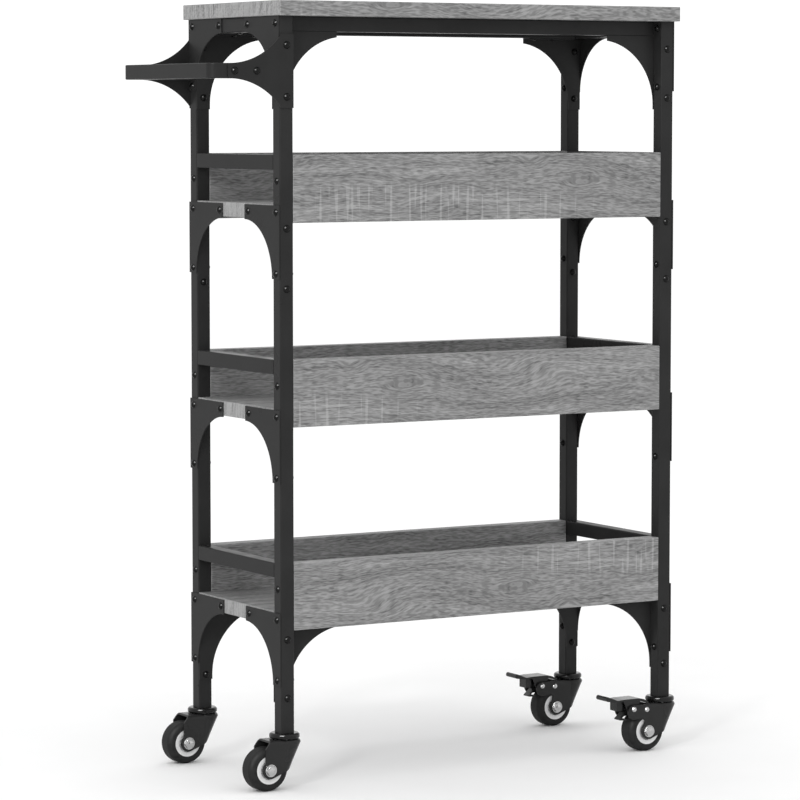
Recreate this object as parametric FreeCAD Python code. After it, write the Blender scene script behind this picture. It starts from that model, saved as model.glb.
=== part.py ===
import FreeCAD, Part
import math
import os

from FreeCAD import Placement, Rotation, Vector

# Slim rolling kitchen cart: four square-tube posts, a top board, three shallow trays,
# a push handle at the left end and four swivel casters, the two right ones with brakes.
# Millimetres. X runs along the length with the handle at -X, Y runs to the back, Z is up.
# The origin is on the floor, under the centre of the whole cart.

# ---------------------------------------------------------------- driving dimensions
FRAME_LENGTH = 470.0        # outside to outside of the posts along X
FRAME_DEPTH = 195.0         # outside to outside of the posts along Y
HEIGHT = 786.6              # floor to the top surface
TUBE = 15.0                 # outside of every square tube
WALL = 1.0                  # wall of every tube
TUBE_CORNER = 1.4           # outside corner radius of every tube
BOARD = 15.0                # thickness of every board
PLATE = 1.2                 # thickness of every steel gusset and bracket
EDGE_BREAK = 0.5            # small bevel along the edges of the boards

TOP_OVERHANG_X = 3.5
TOP_OVERHANG_Y = 7.7

TRAY_PITCH = 203.5
TRAY_TOP = 634.6            # top edge of the highest tray's side boards
TRAY_WALL = 67.5            # height of the side boards
PANEL_RISE = 3.75           # underside of a tray panel above the side boards' lower edge
TRAYS = 3

GUSSET_LEG = 73.0           # both legs of an end gusset, from the outer corner
SIDE_ARC = 67.0             # arc of a side gusset
SIDE_ARC_DROP = 5.0         # metal left above the top of that arc
SIDE_GUSSET_HEIGHT = 77.0
FLANGE = 14.0               # turned-in edge of a side gusset

HANDLE_REACH = 77.0         # handle's outer face from the posts' end face
HANDLE_Z = 717.1            # centre line of the handle
HANDLE_CORNER = 9.0         # outside radius where the handle turns
ARM_GAP = 1.6               # between an arm's end and the post, past the end gusset
BRACKET_TIP = 58.0          # how far a handle bracket reaches out along its arm
BRACKET_ARC = 72.0
BRACKET_TANGENT = 56.0
BRACKET_HALF = 36.5         # half the height of its strip on the post

SEAM_Z = 531.6              # where an upper post stands on a lower post
SLEEVE_LENGTH = 96.0

WHEEL_R = 22.0
WHEEL_WIDTH = 21.0
TREAD_ROUND = 5.5           # radius of the tyre's shoulders
RIM_R = 14.2                # where the tyre meets the rim on the wheel's side
RIM_RECESS_R = 9.7
RIM_RECESS = 4.5
TRAIL = 22.5                # axle behind the swivel axis
FORK_WIDTH = 26.0
FORK_WALL = 1.6
FORK_TOP = 51.1
FORK_BACK = 16.5            # widest part of the fork's back, from the swivel axis
CUP_R = 15.4
RACE_R = 10.0
BALL_R = 1.5
BALLS_PER_CASTER = 10
SWIVEL_GAP = 0.4            # between the turning fork and the fixed cup
POST_FOOT = 57.1            # lower end of the posts, on top of the cups
STEM_R = 4.0
STEM_TOP = 79.6
AXLE_R = 2.5
AXLE_END = 17.2             # end of the axle's head or nut from the wheel's middle
WASHER_R = 6.3
WASHER = 1.0
HEX_CORNER = 5.5            # centre to corner of the axle's hexagons
HEX_CROWN = 0.7             # dome on the end of each hexagon

# ---------------------------------------------------------------- fasteners
SHANK_R = 2.0
HOLE_R = 2.15
HEAD_R = 3.8
HEAD_H = 2.6                # domed heads are caps of a ball
NUT_R = 3.6
NUT_H = 3.4
NUT_DEPTH = 2.2
SCREW_R = 1.6
SCREW_HEAD_R = 3.2
SCREW_HEAD_H = 1.8
SCREW_BITE = 9.0
CONFIRMAT = 44.0            # screw through a post into a board's end
PANEL_SCREW = 30.0
DOWEL_R = 3.0
DOWEL_LENGTH = 24.0

# ---------------------------------------------------------------- places
LEFT = HANDLE_REACH - (HANDLE_REACH + FRAME_LENGTH + FORK_BACK - TUBE / 2) / 2
RIGHT = LEFT + FRAME_LENGTH
FRONT = -FRAME_DEPTH / 2
REAR = FRAME_DEPTH / 2
BOARD_UNDER = HEIGHT - BOARD
RAIL_UNDER = BOARD_UNDER - TUBE
TRAY_TOPS = [TRAY_TOP - TRAY_PITCH * n for n in range(TRAYS)]
TRAY_FEET = [top - TRAY_WALL for top in TRAY_TOPS]

CORNER_BOLT = 10.5          # above a tray's lower edge: through gusset, post and board
UPPER_SCREW = 41.5          # above a tray's lower edge: through post and board
GUSSET_TOP = 17.4           # top of an end gusset above a tray's lower edge
GUSSET_BOLT_DROP = 61.0     # from the corner bolt to the lower bolt of an end gusset
FLANGE_BOLT = 66.5          # from the outer edge to the bolt in the panel or rail
SIDE_BOLTS_TOP = (RAIL_UNDER - 14.0, RAIL_UNDER - 65.0)
SIDE_BOLTS_FOOT = (TRAY_FEET[-1] - 9.0, TRAY_FEET[-1] - 68.0)
SPLICE_BOLTS = (SEAM_Z + 30.0, SEAM_Z - 30.0)
ARM_BOLTS = (26.0, 50.5)    # out from the posts' end face
FLANGE_SCREWS = (40.0, 63.0)

X_AXIS = Vector(1, 0, 0)
Y_AXIS = Vector(0, 1, 0)
Z_AXIS = Vector(0, 0, 1)

ENDS = {"left": (LEFT, 1), "right": (RIGHT, -1)}      # end face, direction inwards
SIDES = {"front": (FRONT, 1), "rear": (REAR, -1)}


# ---------------------------------------------------------------- helpers
def box(x, y, z):
    """A box between the given pairs of limits, in any order."""
    low = Vector(min(x), min(y), min(z))
    return Part.makeBox(max(x) - low.x, max(y) - low.y, max(z) - low.z, low)


def rod(start, direction, length, radius):
    return Part.makeCylinder(radius, length, start, direction)


def placed(shape, position, direction=Z_AXIS):
    """A copy of a shape made along +Z, set at a place along another direction."""
    copy = shape.copy()
    copy.Placement = Placement(position, Rotation(Z_AXIS, direction)).multiply(shape.Placement)
    return copy


def outline(points):
    """A flat face from points; an item of two points is an arc through the first to the second."""
    edges = []
    here = points[0]
    for item in points[1:] + [points[0]]:
        if isinstance(item, tuple):
            through, end = item
            edges.append(Part.Arc(here, through, end).toShape())
            here = end
        else:
            edges.append(Part.LineSegment(here, item).toShape())
            here = item
    return Part.Face(Part.Wire(edges))


def rounded_square(size, radius, z):
    half = size / 2
    body = Part.makeBox(size, size, 1.0, Vector(-half, -half, z))
    uprights = [e for e in body.Edges if abs(e.tangentAt(e.FirstParameter).z) > 0.9]
    face = body.makeFillet(radius, uprights).Faces
    return [f for f in face if abs(f.CenterOfMass.z - z) < 1e-6][0]


def square_tube(length, size=TUBE, wall=WALL, corner=TUBE_CORNER):
    """A square tube along +Z from z = 0."""
    outer = rounded_square(size, corner, 0).extrude(Vector(0, 0, length))
    inner = rounded_square(size - 2 * wall, max(corner - wall, 0.3), 0)
    return outer.cut(inner.extrude(Vector(0, 0, length)))


def board(x, y, z):
    body = box(x, y, z)
    return body.makeChamfer(EDGE_BREAK, body.Edges)


def cut_all(body, tools):
    return body.cut(Part.makeCompound(tools)) if tools else body


def export(name, solids):
    if not isinstance(solids, list):
        solids = [solids]
    whole = []
    for item in solids:
        whole.extend(item.Solids)
    for solid in whole:
        if not solid.isValid():
            raise ValueError("bad solid in " + name)
    shape = whole[0] if len(whole) == 1 else Part.makeCompound(whole)
    shape.exportStep(os.path.join("parts", name + ".step"))


# ---------------------------------------------------------------- fasteners
def dome(radius, height):
    """A domed head, the cap of a ball, from its flat base at z = 0 down to z = -height."""
    ball = (radius ** 2 + height ** 2) / (2 * height)
    cap = Part.makeSphere(ball, Vector(0, 0, ball - height))
    return cap.common(Part.makeCylinder(radius, height, Vector(0, 0, -height)))


def through_bolt(grip):
    """A domed bolt with its cap nut; it clamps from z = 0 to z = grip."""
    slack = 0.2
    bolt = dome(HEAD_R, HEAD_H).fuse(Part.makeCylinder(SHANK_R, grip + NUT_DEPTH - slack))
    nut = dome(NUT_R, NUT_H)
    nut = nut.cut(Part.makeCylinder(SHANK_R, NUT_DEPTH, Vector(0, 0, -NUT_DEPTH)))
    return [bolt.removeSplitter(), placed(nut, Vector(0, 0, grip), -Z_AXIS)]


def screw(length, radius=SHANK_R, head_radius=HEAD_R, head_height=HEAD_H):
    """A domed screw that enters from z = 0 towards +Z."""
    body = dome(head_radius, head_height).fuse(Part.makeCylinder(radius, length))
    return body.removeSplitter()


def set_fasteners(solids, position, direction):
    """Set a bolt, or a bolt and nut, at a place and direction."""
    group = Part.makeCompound(solids if isinstance(solids, list) else [solids])
    return placed(group, position, direction).Solids


# ---------------------------------------------------------------- where the fasteners go
end_bolts = []              # (position, direction, grip) along X, with cap nuts
tray_screws = []            # (position, direction, length) along X, into wood
side_bolts = []             # (position, direction, grip) along Y, with cap nuts

for end_x, end_in in ENDS.values():
    along = X_AXIS * end_in
    for side_y, side_in in SIDES.values():
        post_y = side_y + side_in * TUBE / 2
        flange_y = side_y + side_in * FLANGE_BOLT
        plate_x = end_x - end_in * PLATE
        top_corner = RAIL_UNDER + TUBE / 2
        lower = [top_corner - GUSSET_BOLT_DROP]
        lower += [foot + CORNER_BOLT - GUSSET_BOLT_DROP for foot in TRAY_FEET]
        for z in [top_corner] + lower:
            end_bolts.append((Vector(plate_x, post_y, z), along, TUBE + PLATE))
        end_bolts.append((Vector(plate_x, flange_y, top_corner), along, TUBE + PLATE))
        for foot in TRAY_FEET:
            corner = Vector(plate_x, post_y, foot + CORNER_BOLT)
            tray_screws.append((corner, along, CONFIRMAT + PLATE))
            upper = Vector(end_x, post_y, foot + UPPER_SCREW)
            tray_screws.append((upper, along, CONFIRMAT))
            panel = Vector(plate_x, flange_y, foot + CORNER_BOLT)
            tray_screws.append((panel, along, PANEL_SCREW))

for end_x, end_in in ENDS.values():
    post_x = end_x + end_in * TUBE / 2
    for side_y, side_in in SIDES.values():
        along = Y_AXIS * side_in
        outside = PLATE if end_in > 0 else 0.0
        for z in SIDE_BOLTS_TOP:
            start = Vector(post_x, side_y - side_in * outside, z)
            side_bolts.append((start, along, TUBE + PLATE + outside))
        for z in SIDE_BOLTS_FOOT:
            side_bolts.append((Vector(post_x, side_y, z), along, TUBE + PLATE))
        for z in SPLICE_BOLTS:
            side_bolts.append((Vector(post_x, side_y, z), along, TUBE))
        if end_in > 0:
            for reach in ARM_BOLTS:
                start = Vector(LEFT - reach, side_y - side_in * PLATE, HANDLE_Z)
                side_bolts.append((start, along, TUBE + PLATE))

wood_screws = []            # (position, length), straight up
for end_x, end_in in ENDS.values():
    wood_screws.append((Vector(end_x + end_in * TUBE / 2, 0, RAIL_UNDER), TUBE + SCREW_BITE))
    for side_y, side_in in SIDES.values():
        for reach in FLANGE_SCREWS:
            x = end_x + end_in * reach
            y = side_y + side_in * (TUBE + TUBE / 2)
            top = Vector(x, y, RAIL_UNDER - PLATE)
            wood_screws.append((top, PLATE + TUBE + SCREW_BITE))
            foot = Vector(x, y, TRAY_FEET[-1] + PANEL_RISE - PLATE)
            wood_screws.append((foot, PLATE + SCREW_BITE))

dowel_x = [LEFT + FRAME_LENGTH * share for share in (0.2, 0.5, 0.8)]
dowels = []                 # one solid each, across the seam of a panel and a side board
for foot in TRAY_FEET:
    for side_y, side_in in SIDES.values():
        for x in dowel_x:
            y = side_y + side_in * (BOARD - DOWEL_LENGTH / 2)
            start = Vector(x, y, foot + PANEL_RISE + BOARD / 2)
            dowels.append(rod(start, Y_AXIS * side_in, DOWEL_LENGTH, DOWEL_R))

reach_back = 1.0            # holes start a little outside what they go through
through_holes = [rod(p - d * reach_back, d, g + 2 * reach_back, HOLE_R)
                 for p, d, g in end_bolts + side_bolts]
screw_holes = [rod(p - d * reach_back, d, TUBE + PLATE + reach_back, HOLE_R)
               for p, d, _ in tray_screws]
pilot_holes = [rod(p, d, length, SHANK_R) for p, d, length in tray_screws]
wood_holes = [rod(p, Z_AXIS, length, SCREW_R) for p, length in wood_screws]
metal_holes = through_holes + screw_holes + wood_holes


def near(tools, body):
    """The holes whose boxes meet the body's box."""
    room = body.BoundBox
    return [t for t in tools if room.intersect(t.BoundBox)]


def drilled(body, tools):
    return cut_all(body, near(tools, body))


# ---------------------------------------------------------------- boards
def make_top_board():
    body = board((LEFT - TOP_OVERHANG_X, RIGHT + TOP_OVERHANG_X),
                 (FRONT - TOP_OVERHANG_Y, REAR + TOP_OVERHANG_Y), (BOARD_UNDER, HEIGHT))
    export("top_board", drilled(body, wood_holes))


def make_trays():
    for number, foot in enumerate(TRAY_FEET, 1):
        low = foot + PANEL_RISE
        panel = board((LEFT, RIGHT), (FRONT + TUBE, REAR - TUBE), (low, low + BOARD))
        export("tray_%d_panel" % number, drilled(panel, pilot_holes + wood_holes + dowels))
        for side, (side_y, side_in) in SIDES.items():
            wall = board((LEFT + TUBE, RIGHT - TUBE), (side_y, side_y + side_in * BOARD),
                         (foot, foot + TRAY_WALL))
            export("tray_%d_%s_board" % (number, side), drilled(wall, pilot_holes + dowels))


# ---------------------------------------------------------------- tube frame
def make_posts():
    spans = {"upper": (SEAM_Z, BOARD_UNDER), "lower": (POST_FOOT, SEAM_Z)}
    for side, (side_y, side_in) in SIDES.items():
        for end, (end_x, end_in) in ENDS.items():
            x = end_x + end_in * TUBE / 2
            y = side_y + side_in * TUBE / 2
            for level, (low, high) in spans.items():
                post = placed(square_tube(high - low), Vector(x, y, low))
                export("post_%s_%s_%s" % (side, end, level), drilled(post, metal_holes))


def make_splice_sleeves():
    inside = TUBE - 2 * WALL
    sleeves = []
    for side_y, side_in in SIDES.values():
        for end_x, end_in in ENDS.values():
            low = Vector(end_x + end_in * TUBE / 2, side_y + side_in * TUBE / 2,
                         SEAM_Z - SLEEVE_LENGTH / 2)
            sleeve = placed(square_tube(SLEEVE_LENGTH, inside - 0.2, 1.2, 0.8), low)
            sleeves.append(drilled(sleeve, through_holes + screw_holes))
    export("post_splice_sleeves", sleeves)


def make_rails():
    middle = RAIL_UNDER + TUBE / 2
    for side, (side_y, side_in) in SIDES.items():
        start = Vector(LEFT + TUBE, side_y + side_in * TUBE * 1.5, middle)
        rail = placed(square_tube(FRAME_LENGTH - 2 * TUBE), start, X_AXIS)
        export("top_rail_" + side, drilled(rail, metal_holes))
    cross = square_tube(FRAME_DEPTH - 2 * TUBE)
    for end, (end_x, end_in) in ENDS.items():
        x = end_x + end_in * TUBE / 2
        rail = placed(cross, Vector(x, FRONT + TUBE, middle), Y_AXIS)
        export("top_rail_" + end, drilled(rail, metal_holes))
        rails = [placed(cross, Vector(x, FRONT + TUBE, top - TUBE / 2), Y_AXIS)
                 for top in TRAY_TOPS]
        export("tray_end_rails_" + end, rails)


# ---------------------------------------------------------------- gussets and brackets
def end_gusset():
    """Made in the YZ plane with its outer corner at the origin, legs along +Y and -Z."""
    leg = GUSSET_LEG
    radius = leg - TUBE
    turn = radius * math.sqrt(0.5)
    points = [Vector(0, 0, 0), Vector(0, leg, 0), Vector(0, leg, -TUBE),
              (Vector(0, leg - turn, -leg + turn), Vector(0, TUBE, -leg)),
              Vector(0, 0, -leg)]
    return outline(points).extrude(Vector(PLATE, 0, 0))


def side_gusset():
    """Made with its outer top corner at the origin, legs along +X and -Z, flange along +Y."""
    centre_x = TUBE + SIDE_ARC
    centre_z = -SIDE_ARC_DROP - SIDE_ARC
    start_z = centre_z + math.sqrt(SIDE_ARC ** 2 - (centre_x - GUSSET_LEG) ** 2)
    slant = math.radians(135)
    points = [Vector(0, 0, 0), Vector(GUSSET_LEG, 0, 0), Vector(GUSSET_LEG, 0, start_z),
              (Vector(centre_x + SIDE_ARC * math.cos(slant), 0,
                      centre_z + SIDE_ARC * math.sin(slant)),
               Vector(TUBE, 0, centre_z)),
              Vector(TUBE, 0, -SIDE_GUSSET_HEIGHT), Vector(0, 0, -SIDE_GUSSET_HEIGHT)]
    plate = outline(points).extrude(Vector(0, PLATE, 0))
    flange = box((TUBE + 1, GUSSET_LEG), (0, FLANGE), (-PLATE, 0))
    return plate.fuse(flange).removeSplitter()


def handle_bracket():
    """Made in the XZ plane about the arm's centre line, x = 0 at the posts' end face."""
    half = TUBE / 2
    rise = BRACKET_ARC - math.sqrt(BRACKET_ARC ** 2 - BRACKET_TANGENT ** 2)
    middle_x = BRACKET_TANGENT / 2
    middle = BRACKET_ARC - math.sqrt(BRACKET_ARC ** 2 - middle_x ** 2)
    upper = [Vector(TUBE, 0, BRACKET_HALF), Vector(0, 0, BRACKET_HALF),
             Vector(0, 0, half + rise),
             (Vector(-BRACKET_TANGENT + middle_x, 0, half + middle),
              Vector(-BRACKET_TANGENT, 0, half)),
             Vector(-BRACKET_TIP, 0, half), Vector(-BRACKET_TIP, 0, -half),
             Vector(-BRACKET_TANGENT, 0, -half),
             (Vector(-BRACKET_TANGENT + middle_x, 0, -half - middle),
              Vector(0, 0, -half - rise)),
             Vector(0, 0, -BRACKET_HALF), Vector(TUBE, 0, -BRACKET_HALF)]
    return outline(upper).extrude(Vector(0, PLATE, 0))


def mirrored(shape, flip_x, flip_y):
    """A copy of the shape, turned over where a direction runs the other way."""
    shape = shape.copy()
    if flip_x:
        shape = shape.mirror(Vector(0, 0, 0), X_AXIS)
    if flip_y:
        shape = shape.mirror(Vector(0, 0, 0), Y_AXIS)
    return shape


def make_gussets():
    base = end_gusset()
    tops = [BOARD_UNDER] + [foot + GUSSET_TOP for foot in TRAY_FEET]
    for end, (end_x, end_in) in ENDS.items():
        plates = []
        for side_y, side_in in SIDES.values():
            for top in tops:
                plate = mirrored(base, end_in < 0, side_in < 0)
                plate.translate(Vector(end_x - end_in * PLATE, side_y, top))
                plates.append(drilled(plate, through_holes + screw_holes))
        export("end_gussets_" + end, plates)

    base = side_gusset()
    for level, top in {"top": RAIL_UNDER, "foot": TRAY_FEET[-1] + PANEL_RISE}.items():
        plates = []
        for end_x, end_in in ENDS.values():
            for side_y, side_in in SIDES.values():
                plate = mirrored(base, end_in < 0, side_in < 0)
                plate.translate(Vector(end_x, side_y + side_in * TUBE, top))
                plates.append(drilled(plate, metal_holes))
        export("side_gussets_" + level, plates)

    base = handle_bracket()
    plates = []
    for side_y, side_in in SIDES.values():
        plate = mirrored(base, False, side_in < 0)
        plate.translate(Vector(LEFT, side_y - side_in * PLATE, HANDLE_Z))
        plates.append(drilled(plate, through_holes))
    export("handle_brackets", plates)


def handle_shape(inset):
    """The handle's U in plan, shrunk all round by the inset, with its arms' ends open."""
    outer_x = LEFT - HANDLE_REACH + inset
    inner_x = LEFT - HANDLE_REACH + TUBE - inset
    end_x = LEFT - ARM_GAP
    body = box((outer_x, end_x), (FRONT + inset, REAR - inset),
               (HANDLE_Z - TUBE / 2 + inset, HANDLE_Z + TUBE / 2 - inset))
    turns = [e for e in body.Edges
             if abs(e.CenterOfMass.x - outer_x) < 1e-6 and abs(e.CenterOfMass.z - HANDLE_Z) < 1e-6
             and e.BoundBox.YLength < 1e-6]
    body = body.makeFillet(HANDLE_CORNER - inset, turns)
    grip = box((inner_x, end_x), (FRONT + TUBE - inset, REAR - TUBE + inset),
               (HANDLE_Z - TUBE, HANDLE_Z + TUBE))
    return body.cut(grip)


def make_handle():
    outer = handle_shape(0.0)
    long_edges = [e for e in outer.Edges
                  if e.BoundBox.ZLength < 1e-6 and abs(e.CenterOfMass.x - LEFT + ARM_GAP) > 1e-3]
    outer = outer.makeFillet(TUBE_CORNER - 0.2, long_edges)
    export("handle_tube", drilled(outer.cut(handle_shape(WALL)), through_holes))


# ---------------------------------------------------------------- fastener nodes
def make_fasteners():
    def nuts_and_bolts(places):
        solids = []
        for position, direction, grip in places:
            solids += set_fasteners(through_bolt(grip), position, direction)
        return solids

    export("end_bolts", nuts_and_bolts(end_bolts))
    export("side_bolts", nuts_and_bolts(side_bolts))
    solids = []
    for position, direction, length in tray_screws:
        solids += set_fasteners(screw(length), position, direction)
    export("tray_screws", solids)
    solids = []
    for position, length in wood_screws:
        solids += set_fasteners(screw(length, SCREW_R, SCREW_HEAD_R, SCREW_HEAD_H), position, Z_AXIS)
    export("wood_screws", solids)
    export("tray_dowels", dowels)


# ---------------------------------------------------------------- casters
# Each caster is made about its swivel axis at the origin, with its wheel towards -X.
AXLE = Vector(-TRAIL, 0, WHEEL_R)
FORK_FRONT = -27.8
FORK_LIP = -22.0                        # front edge of the fork's top plate
FORK_CORNER_Z = 43.6                    # below this the legs' front edges are upright
FORK_CREASE = -4.0                      # here the flat legs meet the round back
FORK_ROUND = 3.5                        # radius of the fork's top edges
FORK_ROUND_STEPS = 4
HEEL = Vector(4.5, 0, 23.1)             # lower end of the fork's sloping back
LOBE_R = 8.7
BOSS_R = 11.0                           # thick middle of the fork's top, under the balls
BOSS = 3.5
EAR_R = 7.8
BRAKE_PIN = Vector(-41.0, 0, 46.6)
STOP_RIVET = Vector(-24.7, 0, 45.3)
PIN_R = 1.8
RIVET_R = 3.0
RIVET_H = 1.9
PEDAL_HALF = 9.8
PEDAL_SHEET = 2.0
PEDAL_CHEEK = 2.0
LEAF_SHEET = 1.4
INNER_HALF = FORK_WIDTH / 2 - FORK_WALL
THROUGH = 20.0                          # bores run this far each way from the middle
EASE = 0.1                              # room round a shaft that turns in its hole


def across(place, radius):
    """A bore along Y, right through the caster."""
    return rod(place - Y_AXIS * THROUGH, Y_AXIS, 2 * THROUGH, radius)


def lobe_point(angle):
    turn = math.radians(angle)
    return AXLE + Vector(LOBE_R * math.cos(turn), 0, LOBE_R * math.sin(turn))


def fork_outline():
    """Side view of the fork: sloped front corner, flat top, round end about the axle."""
    to_heel = HEEL - AXLE
    lean = math.degrees(math.atan2(to_heel.z, to_heel.x))
    spread = math.degrees(math.acos(LOBE_R / to_heel.Length))
    front = math.degrees(math.acos((FORK_FRONT + TRAIL) / LOBE_R))
    touch = lobe_point(lean - spread)
    past = FORK_BACK + 5
    under = HEEL.z + (past - HEEL.x) * (HEEL.z - touch.z) / (HEEL.x - touch.x)
    return [Vector(FORK_LIP, 0, FORK_TOP), Vector(past, 0, FORK_TOP), Vector(past, 0, under), touch,
            (lobe_point(200), lobe_point(front)), Vector(FORK_FRONT, 0, FORK_CORNER_Z)]


def plan_wire(inset, back, z):
    """Level section of the fork: two straight sides joined by an arc round the back."""
    half = FORK_WIDTH / 2 - inset
    far = FORK_FRONT - 3 * EAR_R
    corners = [Vector(far, -half, z), Vector(FORK_CREASE, -half, z),
               Vector(FORK_CREASE, half, z), Vector(far, half, z)]
    bend = Part.Arc(corners[1], Vector(back - inset, 0, z), corners[2])
    return Part.Wire([Part.LineSegment(corners[0], corners[1]).toShape(), bend.toShape(),
                      Part.LineSegment(corners[2], corners[3]).toShape(),
                      Part.LineSegment(corners[3], corners[0]).toShape()])


def fork_plan(inset):
    """The fork's body seen from above, its back tapering to the heel, its top edges rounded."""
    rounding = FORK_ROUND - inset
    full_z = FORK_TOP - FORK_ROUND
    low_z = AXLE.z - LOBE_R - 1
    taper = (FORK_BACK - HEEL.x) / (full_z - HEEL.z)
    wires = [plan_wire(inset, FORK_BACK - taper * (full_z - low_z), low_z)]
    for step in range(FORK_ROUND_STEPS + 1):
        turn = math.pi / 2 * step / FORK_ROUND_STEPS
        wires.append(plan_wire(inset + rounding * (1 - math.cos(turn)), FORK_BACK,
                               full_z + rounding * math.sin(turn)))
    return Part.makeLoft(wires, True, True)


def along_y(points, half):
    face = outline([shifted(p, -half) for p in points])
    return face.extrude(Vector(0, 2 * half, 0))


def shifted(item, y):
    if isinstance(item, tuple):
        return tuple(shifted(p, y) for p in item)
    return Vector(item.x, y, item.z)


def fork_ears():
    """The longer legs of a braked fork, round about the pedal's pin."""
    centre = Vector(BRAKE_PIN.x, 0, FORK_TOP - EAR_R)
    root = FORK_FRONT + 4
    points = [Vector(root, 0, FORK_TOP), Vector(centre.x, 0, FORK_TOP),
              (Vector(centre.x - EAR_R, 0, centre.z), Vector(centre.x, 0, centre.z - EAR_R)),
              Vector(FORK_FRONT - 2, 0, centre.z - EAR_R + 1), Vector(root, 0, HEEL.z + 5)]
    slot = box((centre.x - 2 * EAR_R, root + 1), (-INNER_HALF, INNER_HALF), (0, FORK_TOP + 1))
    return along_y(points, FORK_WIDTH / 2).cut(slot)


def race():
    return Part.makeTorus(RACE_R, BALL_R + 0.15, Vector(0, 0, FORK_TOP + SWIVEL_GAP / 2))


def make_fork(braked):
    body = along_y(fork_outline(), FORK_WIDTH).common(fork_plan(0.0))
    fork = body.cut(fork_plan(FORK_WALL))
    fork = fork.fuse(Part.makeCylinder(BOSS_R, BOSS, Vector(0, 0, FORK_TOP - BOSS)))
    if braked:
        fork = fork.fuse(fork_ears())
    below = Vector(0, 0, FORK_TOP - 2 * BOSS)
    bores = [race(), rod(below, Z_AXIS, 3 * BOSS, STEM_R + EASE), across(AXLE, AXLE_R)]
    if braked:
        bores += [across(place, PIN_R) for place in (BRAKE_PIN, STOP_RIVET)]
    return cut_all(fork.removeSplitter(), bores)


def hex_end():
    """Washer, bevelled hexagon and low crown, from z = 0 down to the end of the axle."""
    height = AXLE_END - FORK_WIDTH / 2 - WASHER - HEX_CROWN
    corners = [math.radians(60 * n) for n in range(7)]
    hexagon = Part.Face(Part.makePolygon([Vector(HEX_CORNER * math.cos(turn),
                                                 HEX_CORNER * math.sin(turn), 0)
                                          for turn in corners])).extrude(Vector(0, 0, -height))
    bevel = Part.makeCone(HEX_CORNER * 0.88, HEX_CORNER * 1.3, height, Vector(0, 0, -height))
    crown = dome(HEX_CORNER * 0.6, HEX_CROWN)
    crown.translate(Vector(0, 0, -height))
    hexagon = hexagon.common(bevel).fuse(crown)
    hexagon.translate(Vector(0, 0, -WASHER))
    return hexagon.fuse(Part.makeCylinder(WASHER_R, WASHER, Vector(0, 0, -WASHER)))


def axle_set():
    """Axle bolt, its nut on the far side and the two spacers beside the wheel."""
    half = FORK_WIDTH / 2
    grip = AXLE_END - half - 1.5            # thread inside the nut
    bolt = hex_end().fuse(Part.makeCylinder(AXLE_R, 2 * half + grip))
    nut = hex_end().cut(Part.makeCylinder(AXLE_R, grip, Vector(0, 0, -grip)))
    start = Vector(AXLE.x, -half, AXLE.z)
    solids = [placed(bolt.removeSplitter(), start, Y_AXIS),
              placed(nut.removeSplitter(), start + Y_AXIS * 2 * half, -Y_AXIS)]
    seat = WHEEL_WIDTH / 2 - RIM_RECESS + EASE
    spacer = Part.makeCylinder(6.0, INNER_HALF - seat).cut(
        Part.makeCylinder(AXLE_R, INNER_HALF - seat))
    for sign in (-1, 1):
        solids.append(placed(spacer, AXLE + Y_AXIS * sign * seat, Y_AXIS * sign))
    return solids


def turned(profile):
    """A ring turned about the axle from (radius, y) points."""
    points = [Vector(AXLE.x + r, y, AXLE.z) for r, y in profile]
    face = Part.Face(Part.makePolygon(points + points[:1]))
    return face.revolve(AXLE, Y_AXIS, 360)


def make_tyre():
    half = WHEEL_WIDTH / 2
    body = turned([(RIM_R, -half), (WHEEL_R, -half), (WHEEL_R, half), (RIM_R, half),
                   (RIM_R - 2, half - 2.5), (RIM_R - 2, -half + 2.5)])
    rims = [e for e in body.Edges if abs(e.BoundBox.XLength - 2 * WHEEL_R) < 1e-3]
    return body.makeFillet(TREAD_ROUND, rims)


def make_rim():
    half = WHEEL_WIDTH / 2
    deep = half - RIM_RECESS
    return turned([(AXLE_R + 0.05, -deep), (RIM_RECESS_R, -deep), (RIM_RECESS_R, -half + 0.4),
                   (RIM_R, -half), (RIM_R - 2, -half + 2.5), (RIM_R - 2, half - 2.5),
                   (RIM_R, half), (RIM_RECESS_R, half - 0.4), (RIM_RECESS_R, deep),
                   (AXLE_R + 0.05, deep)])


def strip(points, thickness, half):
    """A bent sheet strip: a centre line in the XZ plane, thickened and made wide in Y."""
    pieces = []
    for a, b in zip(points, points[1:]):
        run = b - a
        run.normalize()
        side = Vector(-run.z, 0, run.x) * (thickness / 2)
        pieces.append(along_y([a + side, b + side, b - side, a - side], half))
        pieces.append(rod(Vector(b.x, -half, b.z), Y_AXIS, 2 * half, thickness / 2))
    pieces.append(rod(Vector(points[0].x, -half, points[0].z), Y_AXIS, 2 * half, thickness / 2))
    return pieces[0].fuse(pieces[1:]).removeSplitter()


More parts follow.
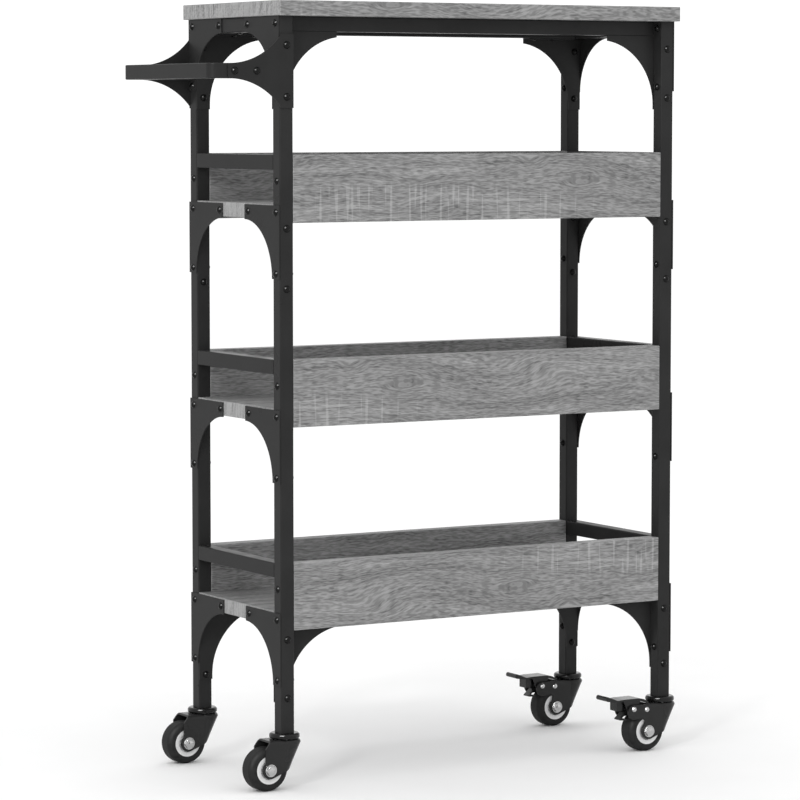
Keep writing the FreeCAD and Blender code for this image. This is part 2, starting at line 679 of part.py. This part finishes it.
def make_pedal():
    """Brake pedal: tread plate, cheeks about the pin, pad, and the leaf that meets the wheel."""
    tread = strip([Vector(-60, 0, 56.0), Vector(-52, 0, 56.6), Vector(-33, 0, 56.6),
                   Vector(-27, 0, 55.2), Vector(-22.5, 0, 53.0)], PEDAL_SHEET, PEDAL_HALF)
    tip = along_y([Vector(-60, 0, 57.0), Vector(-60, 0, 55.0), Vector(-72, 0, 56.8),
                   (Vector(-74.5, 0, 59.3), Vector(-72, 0, 61.8))], PEDAL_HALF)
    cheeks = along_y([Vector(-53, 0, 56.1), Vector(-31, 0, 56.1), Vector(-36, 0, 43.1),
                      Vector(-46, 0, 43.1)], PEDAL_HALF)
    inside = PEDAL_HALF - PEDAL_CHEEK
    gap = box((-60, -20), (-inside, inside), (30, 55.8))
    barrel = rod(BRAKE_PIN - Y_AXIS * PEDAL_HALF, Y_AXIS, 2 * PEDAL_HALF, 2 * PIN_R)
    pad = box((-59, -52), (-6.5, 6.5), (45.1, 56.1))
    arm = box((-53, -42), (-4, 4), (45.4, 47.8))
    leaf = strip([Vector(-44.0, 0, 44.6), Vector(-54.0, 0, 35.6), Vector(-45.2, 0, 34.8)],
                 LEAF_SHEET, 5.0)
    lever = tread.fuse([tip, cheeks.cut(gap), barrel, pad, arm, leaf]).removeSplitter()
    return lever.cut(across(BRAKE_PIN, PIN_R + EASE))


def brake_pins():
    """The pedal's pivot, riveted over outside both legs, and a short rivet in each leg."""
    half = FORK_WIDTH / 2
    pivot = rod(BRAKE_PIN - Y_AXIS * half, Y_AXIS, 2 * half, PIN_R)
    rivets = []
    for sign in (-1, 1):
        outside = Y_AXIS * sign * half
        head = dome(RIVET_R, RIVET_H)
        pivot = pivot.fuse(placed(head, BRAKE_PIN + outside, Y_AXIS * -sign))
        rivet = head.fuse(Part.makeCylinder(PIN_R, FORK_WALL)).removeSplitter()
        rivets.append(placed(rivet, STOP_RIVET + outside, Y_AXIS * -sign))
    return [pivot.removeSplitter()] + rivets


def cup():
    """Fixed cover of the swivel, clamped between the stem's shoulder and the post."""
    low = FORK_TOP + SWIVEL_GAP
    body = Part.makeCylinder(CUP_R, POST_FOOT - low, Vector(0, 0, low))
    for z, rounding in ((POST_FOOT, 2.6), (low, 1.8)):
        rim = [e for e in body.Edges if abs(e.BoundBox.ZMax - z) + abs(e.BoundBox.ZMin - z) < 1e-3]
        body = body.makeFillet(rounding, rim)
    return body.cut(race()).cut(rod(Vector(0, 0, low - 1), Z_AXIS, POST_FOOT, STEM_R))


def stem():
    """Threaded stem with the riveted head that carries the fork from inside."""
    head_top = FORK_TOP - BOSS - 0.3
    head_height = 1.8
    head = Part.makeCylinder(6.5, head_height, Vector(0, 0, head_top - head_height))
    body = Part.makeCylinder(STEM_R, STEM_TOP - head_top, Vector(0, 0, head_top))
    return head.fuse(body).removeSplitter()


def foot_insert():
    """Plug in the post's lower end that takes the stem."""
    inside = TUBE - 2 * WALL
    height = STEM_TOP - POST_FOOT + 3.5
    plug = rounded_square(inside, 0.4, POST_FOOT).extrude(Vector(0, 0, height))
    return plug.cut(rod(Vector(0, 0, POST_FOOT - 1), Z_AXIS, STEM_TOP - POST_FOOT + 1, STEM_R))


def balls():
    step = 2 * math.pi / BALLS_PER_CASTER
    return [Part.makeSphere(BALL_R, Vector(RACE_R * math.cos(n * step), RACE_R * math.sin(n * step),
                                           FORK_TOP + SWIVEL_GAP / 2))
            for n in range(BALLS_PER_CASTER)]


def make_casters():
    fixed = {"caster_stems": [], "caster_cups": [], "foot_inserts": [], "swivel_balls": []}
    for side, (side_y, side_in) in SIDES.items():
        for end, (end_x, end_in) in ENDS.items():
            place = Vector(end_x + end_in * TUBE / 2, side_y + side_in * TUBE / 2, 0)
            braked = end == "right"
            corner = "%s_%s" % (side, end)

            def here(solids):
                return [placed(s, place) for solid in solids for s in solid.Solids]

            fixed["caster_stems"] += here([stem()])
            fixed["caster_cups"] += here([cup()])
            fixed["foot_inserts"] += here([foot_insert()])
            fixed["swivel_balls"] += here(balls())
            export("fork_" + corner, here([make_fork(braked)]))
            export("axle_" + corner, here(axle_set()))
            export("tyre_" + corner, here([make_tyre()]))
            export("rim_" + corner, here([make_rim()]))
            if braked:
                export("brake_pedal_" + corner, here([make_pedal()]))
                export("brake_pins_" + corner, here(brake_pins()))
    for name, solids in fixed.items():
        export(name, solids)


# ---------------------------------------------------------------- build
os.makedirs("parts", exist_ok=True)
make_top_board()
make_trays()
make_posts()
make_splice_sleeves()
make_rails()
make_gussets()
make_handle()
make_fasteners()
make_casters()
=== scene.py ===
import math

import bpy
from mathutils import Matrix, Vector


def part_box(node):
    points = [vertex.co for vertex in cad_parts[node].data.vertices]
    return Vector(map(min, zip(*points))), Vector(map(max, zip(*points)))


# A slim rolling kitchen cart: grey oak-look boards in a black square-tube frame, on four casters.
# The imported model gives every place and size; this script gives it finishes, light and a camera.

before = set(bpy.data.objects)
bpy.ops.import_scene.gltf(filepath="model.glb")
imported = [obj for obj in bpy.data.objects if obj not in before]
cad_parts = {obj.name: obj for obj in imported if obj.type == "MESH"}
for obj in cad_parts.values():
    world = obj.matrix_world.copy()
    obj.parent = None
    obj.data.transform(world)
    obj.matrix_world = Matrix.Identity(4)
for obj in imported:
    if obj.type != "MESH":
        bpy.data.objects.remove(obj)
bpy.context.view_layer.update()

MM = 0.001


# ---------------------------------------------------------------- building a material's nodes
class Finish:
    """One material, with short calls that add nodes. A value is a number, a tuple or a socket."""

    def __init__(self, name, **plain):
        self.material = bpy.data.materials.new(name)
        self.material.use_nodes = True
        self.tree = self.material.node_tree
        self.shader = self.tree.nodes["Principled BSDF"]
        self.surface({key.replace("_", " "): value for key, value in plain.items()})
        self.place = self.node("TexCoord", {}, "Object")
        self.place_mm = self.vector("MULTIPLY", self.place, (1 / MM, 1 / MM, 1 / MM))

    def feed(self, node, inputs):
        for key, value in inputs.items():
            socket = node.inputs[key]
            if isinstance(value, bpy.types.NodeSocket):
                self.tree.links.new(value, socket)
            else:
                socket.default_value = value

    def surface(self, inputs):
        self.feed(self.shader, inputs)

    def node(self, kind, inputs, output=0, **settings):
        node = self.tree.nodes.new("ShaderNode" + kind)
        for name, value in settings.items():
            setattr(node, name, value)
        self.feed(node, inputs)
        return node.outputs[output]

    def math(self, operation, *values):
        return self.node("Math", dict(enumerate(values)), operation=operation)

    def times(self, value, factor):
        return self.math("MULTIPLY", value, factor)

    def total(self, *values):
        result = values[0]
        for value in values[1:]:
            result = self.math("ADD", result, value)
        return result

    def swing(self, value, reach):
        """A noise value turned into a step either side of nothing."""
        return self.math("MULTIPLY_ADD", value, 2 * reach, -reach)

    def vector(self, operation, *values):
        return self.node("VectorMath", dict(enumerate(values)), operation=operation)

    def parts(self, vector):
        node = self.tree.nodes.new("ShaderNodeSeparateXYZ")
        self.tree.links.new(vector, node.inputs[0])
        return node.outputs[0], node.outputs[1], node.outputs[2]

    def noise(self, vector, scale, detail, roughness=0.5):
        return self.node("TexNoise", {"Vector": vector, "Scale": scale, "Detail": detail,
                                      "Roughness": roughness})

    def streaks(self, along, across, length, width, detail, seed=0.0):
        """Noise drawn out into patches that measure length along and width across."""
        place = self.node("CombineXYZ", {0: self.times(along, 1 / length),
                                         1: self.times(across, 1 / width), 2: seed})
        return self.noise(place, 1.0, detail)

    def remap(self, value, low, high, to_low=0.0, to_high=1.0, kind="SMOOTHSTEP"):
        return self.node("MapRange", {0: value, 1: low, 2: high, 3: to_low, 4: to_high},
                         interpolation_type=kind)

    def ramp(self, value, low, high):
        """Colours along a value; low and high are each a place on it and the colour there."""
        node = self.tree.nodes.new("ShaderNodeValToRGB")
        self.tree.links.new(value, node.inputs[0])
        for element, (place, colour) in zip(node.color_ramp.elements, (low, high)):
            element.position = place
            element.color = (*colour, 1.0)
        return node.outputs[0]

    def bump(self, height, depth, strength=1.0):
        """Relief of the given depth, in metres, on the whole surface."""
        normal = self.node("Bump", {"Height": height, "Distance": depth, "Strength": strength})
        self.surface({"Normal": normal})


def grey(level):
    return (level, level, level)


# ---------------------------------------------------------------- grey oak laminate
# The figure of the printed oak, in mm: u along the grain, v across it.
# Each bump pushes the grain lines aside round its centre: (u, v, reach along u, reach along v, push).
FIGURE = [(130, 36, 26, 5, 4.5), (205, 30, 70, 20, 8.0), (262, 20, 60, 26, 8.0),
          (64, 58, 16, 8, 6.0), (-90, 44, 60, 20, 4.0), (350, 48, 80, 22, -7.0)]
WAVE = 11.0                             # how far slow waves push the grain lines
WAVE_LENGTH, WAVE_WIDTH = 110, 34

MEAN_TONE = 0.5                         # tone runs from 0, the darkest print, to 1, the palest
DARK, PALE = 0.080, 0.338               # the print's darkest and palest reflectance
MATT, SATIN = 0.60, 0.44                # roughness of the darkest and of the palest print
BANDS, LINES, DASHES = 0.42, 0.40, 0.17     # how far each kind of streak swings the tone
PORES, FLECKS = -0.22, 0.16             # what dark pores and pale flecks add to it

SAWN = (-90, 12, 250, 27)               # patch of saw marks: centre u and v, reach u and v
SAW_PITCH = 4.5                         # size of the noise that sets the saw marks apart
SAW_LENGTH = 90
SAW_CUTS, SAW_LATTICE = 0.32, 0.20      # what the cuts and the lines along the grain add to the tone

END_RUN = 2.5                           # how fast the print runs on across a cut end
END_STREAKS, END_PAINTED_LIGHT = 0.85, 0.30      # streaks on the cut ends, and the painted light that makes the ends paler
END_STREAK_WIDE, END_STREAK_TALL = 2.6, 40
BEVEL_HIGHLIGHT = 0.16                       # painted highlight: how much paler the bevels are painted

GRAIN_DEPTH = 0.08 * MM
PORE_DEPTH = -0.8                       # a pore's relief, where a dash stands 1 high


def gaussian(finish, u, v, centre_u, centre_v, reach_u, reach_v):
    along = finish.times(finish.math("SUBTRACT", u, centre_u), 1 / reach_u)
    across = finish.times(finish.math("SUBTRACT", v, centre_v), 1 / reach_v)
    squares = finish.total(finish.times(along, along), finish.times(across, across))
    return finish.math("EXPONENT", finish.times(squares, -1.0))


def oak(name, corner, start_u, start_v, turned, end_tilt):
    """Laminate for one board. corner is the board's low corner; start_u and start_v say which
    stretch of the print it was cut from, and turned is a board cut the other way round."""
    wood = Finish(name, Specular_IOR_Level=0.3)
    x, y, z = wood.parts(wood.vector("SUBTRACT", wood.place_mm, corner / MM))
    facing = [wood.math("ABSOLUTE", part) for part in wood.parts(wood.node("TexCoord", {}, "Normal"))]
    end = wood.remap(facing[0], 0.8, 0.9)
    slant = wood.math("MULTIPLY_ADD", end, end_tilt - 1.0, 1.0)
    way = -1.0 if turned else 1.0
    u = wood.math("MULTIPLY_ADD", x, way, start_u)
    u = wood.total(u, wood.times(end, wood.times(wood.math("SUBTRACT", y, z), END_RUN)))
    v = wood.math("MULTIPLY_ADD", wood.math("MULTIPLY_ADD", y, slant, z), way, start_v)

    # the grain lines: v, pushed aside by slow waves and by the figure
    flow = wood.total(v, wood.swing(wood.streaks(u, v, WAVE_LENGTH, WAVE_WIDTH, 1.0), WAVE))
    for centre_u, centre_v, reach_u, reach_v, push in FIGURE:
        spot = gaussian(wood, u, v, centre_u, centre_v, reach_u, reach_v)
        flow = wood.math("MULTIPLY_ADD", spot, push, flow)

    bands = wood.streaks(u, flow, 260, 14.0, 1.0)
    lines = wood.streaks(u, flow, 70, 4.0, 2.0, 5.0)
    dashes = wood.remap(wood.streaks(u, flow, 10, 1.4, 1.0, 3.0), 0.40, 0.60)
    pores = wood.remap(wood.streaks(u, flow, 9, 1.1, 0.0, 7.0), 0.60, 0.70)
    flecks = wood.remap(wood.streaks(u, flow, 12, 1.3, 0.0, 11.0), 0.62, 0.72)
    tone = wood.total(MEAN_TONE, wood.swing(bands, BANDS), wood.swing(lines, LINES),
                      wood.swing(dashes, DASHES), wood.times(pores, PORES), wood.times(flecks, FLECKS))

    # saw marks: pale lines across the grain, crossed by pale lines along it
    patch = wood.remap(gaussian(wood, u, v, *SAWN), 0.30, 0.62)
    kerf = wood.streaks(u, v, SAW_PITCH, SAW_LENGTH, 0.0)
    lattice = wood.streaks(u, flow, 120, 3.6, 0.0, 9.0)
    marks = wood.total(wood.remap(kerf, 0.60, 0.67, 0.0, SAW_CUTS),
                       wood.remap(lattice, 0.54, 0.64, 0.0, SAW_LATTICE))
    tone = wood.total(tone, wood.times(patch, marks))

    # cut ends are streaked from top to bottom, and painted paler as painted light for the light they
    # catch
    rise = wood.streaks(y, z, END_STREAK_WIDE, END_STREAK_TALL, 1.0)
    tone = wood.math("MULTIPLY_ADD", end, wood.total(wood.swing(rise, END_STREAKS), END_PAINTED_LIGHT), tone)

    # painted highlight: the laminate is painted pale along the bevels, where no one direction is faced
    # squarely
    squarely = wood.math("MAXIMUM", wood.math("MAXIMUM", facing[0], facing[1]), facing[2])
    tone = wood.math("MULTIPLY_ADD", wood.remap(squarely, 0.92, 0.75), BEVEL_HIGHLIGHT, tone)

    wood.surface({"Base Color": wood.ramp(tone, (0.0, grey(DARK)), (1.0, grey(PALE))),
                  "Roughness": wood.remap(tone, 0.0, 1.0, MATT, SATIN, "LINEAR")})
    wood.bump(wood.total(dashes, wood.times(pores, PORE_DEPTH)), GRAIN_DEPTH, 0.5)
    return wood.material


# ---------------------------------------------------------------- other finishes
def painted_steel(name, level, roughness, specular, peel):
    """Sprayed black: nearly flat, with a faint orange peel, peel mm deep, and an uneven gloss."""
    paint = Finish(name, Specular_IOR_Level=specular)
    cloud = paint.noise(paint.place_mm, 1 / 45, 3.0)
    skin = paint.noise(paint.place_mm, 1 / 1.6, 2.0)
    paint.surface({"Base Color": paint.ramp(cloud, (0.3, grey(level * 0.9)), (0.7, grey(level * 1.1))),
                   "Roughness": paint.remap(cloud, 0.3, 0.7, roughness * 0.85, roughness * 1.2)})
    paint.bump(skin, peel * MM)
    return paint.material


def moulded(name, level, roughness):
    """Moulded plastic with a fine sparked grain."""
    part = Finish(name)
    cloud = part.noise(part.place_mm, 1 / 12, 3.0)
    grain = part.noise(part.place_mm, 3.0, 2.0)
    part.surface({"Base Color": part.ramp(cloud, (0.3, grey(level * 0.88)), (0.7, grey(level))),
                  "Roughness": part.remap(grain, 0.3, 0.7, roughness * 0.85, roughness * 1.15)})
    part.bump(grain, 0.02 * MM)
    return part.material


def bare_steel(name, level, roughness):
    """Bright metal with fine turning marks and small smears."""
    metal = Finish(name, Metallic=1.0)
    smear = metal.noise(metal.place_mm, 1 / 3, 3.0)
    marks = metal.noise(metal.vector("MULTIPLY", metal.place_mm, (4.0, 0.4, 4.0)), 1.0, 2.0)
    metal.surface({"Base Color": metal.ramp(smear, (0.3, grey(level * 0.85)), (0.7, grey(level))),
                   "Roughness": metal.remap(smear, 0.3, 0.7, roughness, roughness * 2.0)})
    metal.bump(marks, 0.01 * MM)
    return metal.material


def rubber(name, level):
    """Matt rubber with dust lying unevenly on it."""
    tread = Finish(name, Specular_IOR_Level=0.1)
    dust = tread.noise(tread.place_mm, 1 / 5, 4.0, 0.6)
    grain = tread.noise(tread.place_mm, 2.0, 3.0)
    tread.surface({"Base Color": tread.ramp(dust, (0.35, grey(level)), (0.75, grey(level * 1.9))),
                   "Roughness": tread.remap(dust, 0.3, 0.7, 0.5, 0.72)})
    tread.bump(grain, 0.05 * MM)
    return tread.material


def beech(name):
    """Raw beech, with rays drawn out along the dowels, which lie along Y."""
    wood = Finish(name, Roughness=0.6)
    rays = wood.noise(wood.vector("MULTIPLY", wood.place_mm, (2.0, 0.12, 2.0)), 1.0, 3.0)
    wood.surface({"Base Color": wood.ramp(rays, (0.35, (0.42, 0.27, 0.15)), (0.65, (0.60, 0.43, 0.26)))})
    wood.bump(rays, 0.05 * MM)
    return wood.material


FINISHES = {
    "dowel_beech": beech("raw_beech"),
    "frame_black": painted_steel("frame_paint", level=0.0265, roughness=0.32, specular=0.042, peel=0.004),
    "bolt_black": painted_steel("bolt_paint", level=0.006, roughness=0.20, specular=0.12, peel=0.003),
    "plain_steel": bare_steel("zinc_steel", level=0.60, roughness=0.28),
    "insert_plastic": moulded("insert_plastic", level=0.02, roughness=0.5),
    "fork_black": painted_steel("fork_paint", level=0.022, roughness=0.24, specular=0.15, peel=0.006),
    "cup_black": painted_steel("cup_gloss", level=0.008, roughness=0.09, specular=0.22, peel=0.003),
    "pedal_black": painted_steel("pedal_gloss", level=0.014, roughness=0.18, specular=0.25, peel=0.005),
    "bright_steel": bare_steel("chrome", level=0.50, roughness=0.12),
    "tyre": rubber("tyre_rubber", level=0.013),
    "rim_plastic": moulded("rim_plastic", level=0.72, roughness=0.35),
}

# Where each board was cut from the print: (start_u, start_v, turned, tilt of the grain on its ends).
CUTS = {
    "tray_1_front_board": (-213, 0, False, 1.0), "tray_1_rear_board": (420, 30, False, 1.0),
    "tray_1_panel": (60, -60, False, 4.0),
    "tray_2_front_board": (0, 0, False, 1.0), "tray_2_rear_board": (520, 200, True, 1.0),
    "tray_2_panel": (-320, -90, False, 4.0),
    "tray_3_front_board": (390, 67, True, 1.0), "tray_3_rear_board": (-260, 120, False, 1.0),
    "tray_3_panel": (180, -160, False, 4.0),
    "top_board": (0, 26, False, 1.0),
}


def apply_finishes():
    for name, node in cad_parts.items():
        for slot in node.material_slots:
            finish = slot.material.name.split(".")[0]
            if finish == "board_oak":
                slot.material = oak("oak_" + name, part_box(name)[0], *CUTS[name])
            else:
                slot.material = FINISHES[finish]


# ---------------------------------------------------------------- studio
HEADING = math.radians(30.312)          # the camera looks this far to the right of +Y
PITCH = math.radians(4.574)             # and this far down
CAMERA_PLACE = Vector((-1.88148, -3.20688, 0.67450))
SENSOR, LENS = 36.0, 160.7              # both in mm
VIEW_END = 100.0                        # nothing further off is drawn

SURROUND = 1.12                         # even white light from all round
LIT_POINT = (0, 0, 0.4)                 # both lamps point at it
KEY_PLACE = (-3.4, -2.6, 3.0)
KEY_SIZE, KEY_POWER = 0.55, 30
SOFTBOX_PLACE = (-3.0, -2.6, 2.8)
SOFTBOX_SIZE, SOFTBOX_POWER = 3.0, 700

FLOOR_REACH = 40.0
CARD_BACK, CARD_ASIDE = 5.0, 0.3        # from the origin, towards the camera and to its right
CARD_HALF_WIDTH, CARD_TOP = 0.9, 1.5


def rectangle(name, corners, material):
    mesh = bpy.data.meshes.new(name)
    mesh.from_pydata(corners, [], [(0, 1, 2, 3)])
    mesh.materials.append(material)
    piece = bpy.data.objects.new(name, mesh)
    bpy.context.scene.collection.objects.link(piece)
    return piece


def make_floor():
    pale = Finish("floor_pale", Roughness=0.9, Specular_IOR_Level=0.0)
    mottle = pale.noise(pale.place, 6.0, 3.0)
    pale.surface({"Base Color": pale.ramp(mottle, (0.3, grey(0.93)), (0.7, grey(0.95)))})
    reach = FLOOR_REACH
    rectangle("floor", [(-reach, -reach, 0), (reach, -reach, 0), (reach, reach, 0), (-reach, reach, 0)],
              pale.material)


def make_card():
    """A dark card behind the camera that only shows as a reflection in the gloss."""
    felt = Finish("card_felt", Roughness=1.0, Specular_IOR_Level=0.0)
    weave = felt.noise(felt.place, 3.0, 3.0)
    felt.surface({"Base Color": felt.ramp(weave, (0.3, grey(0.03)), (0.7, grey(0.05)))})
    back = Vector((-math.sin(HEADING), -math.cos(HEADING), 0))
    right = Vector((math.cos(HEADING), -math.sin(HEADING), 0))
    middle = back * CARD_BACK + right * CARD_ASIDE
    reach = right * CARD_HALF_WIDTH
    rise = Vector((0, 0, CARD_TOP))
    card = rectangle("card", [middle - reach, middle + reach, middle + reach + rise,
                              middle - reach + rise], felt.material)
    card.visible_camera = False
    card.visible_diffuse = False
    card.visible_shadow = False


def area_light(name, place, size, power):
    light = bpy.data.lights.new(name, "AREA")
    light.shape = "DISK"
    light.size = size
    light.energy = power
    lamp = bpy.data.objects.new(name, light)
    lamp.location = place
    lamp.rotation_euler = (Vector(LIT_POINT) - Vector(place)).to_track_quat("-Z", "Y").to_euler()
    bpy.context.scene.collection.objects.link(lamp)
    return lamp


def make_light():
    """White all round, a small key for soft shadows, and a softbox that lights only the gloss."""
    world = bpy.data.worlds.new("studio")
    world.use_nodes = True
    sky = world.node_tree.nodes["Background"]
    sky.inputs["Color"].default_value = (1, 1, 1, 1)
    sky.inputs["Strength"].default_value = SURROUND
    bpy.context.scene.world = world
    area_light("key", KEY_PLACE, KEY_SIZE, KEY_POWER)
    softbox = area_light("softbox", SOFTBOX_PLACE, SOFTBOX_SIZE, SOFTBOX_POWER)
    softbox.visible_diffuse = False


def make_camera():
    """Looks along the line that the cart is seen on: turned to its left end, a little from above."""
    camera = bpy.data.cameras.new("camera")
    camera.sensor_width = SENSOR
    camera.lens = LENS
    camera.clip_end = VIEW_END
    holder = bpy.data.objects.new("camera", camera)
    holder.location = CAMERA_PLACE
    holder.rotation_euler = (math.pi / 2 - PITCH, 0, -HEADING)
    bpy.context.scene.collection.objects.link(holder)
    bpy.context.scene.camera = holder


apply_finishes()
make_floor()
make_card()
make_light()
make_camera()
bpy.context.scene.view_settings.view_transform = "Standard"
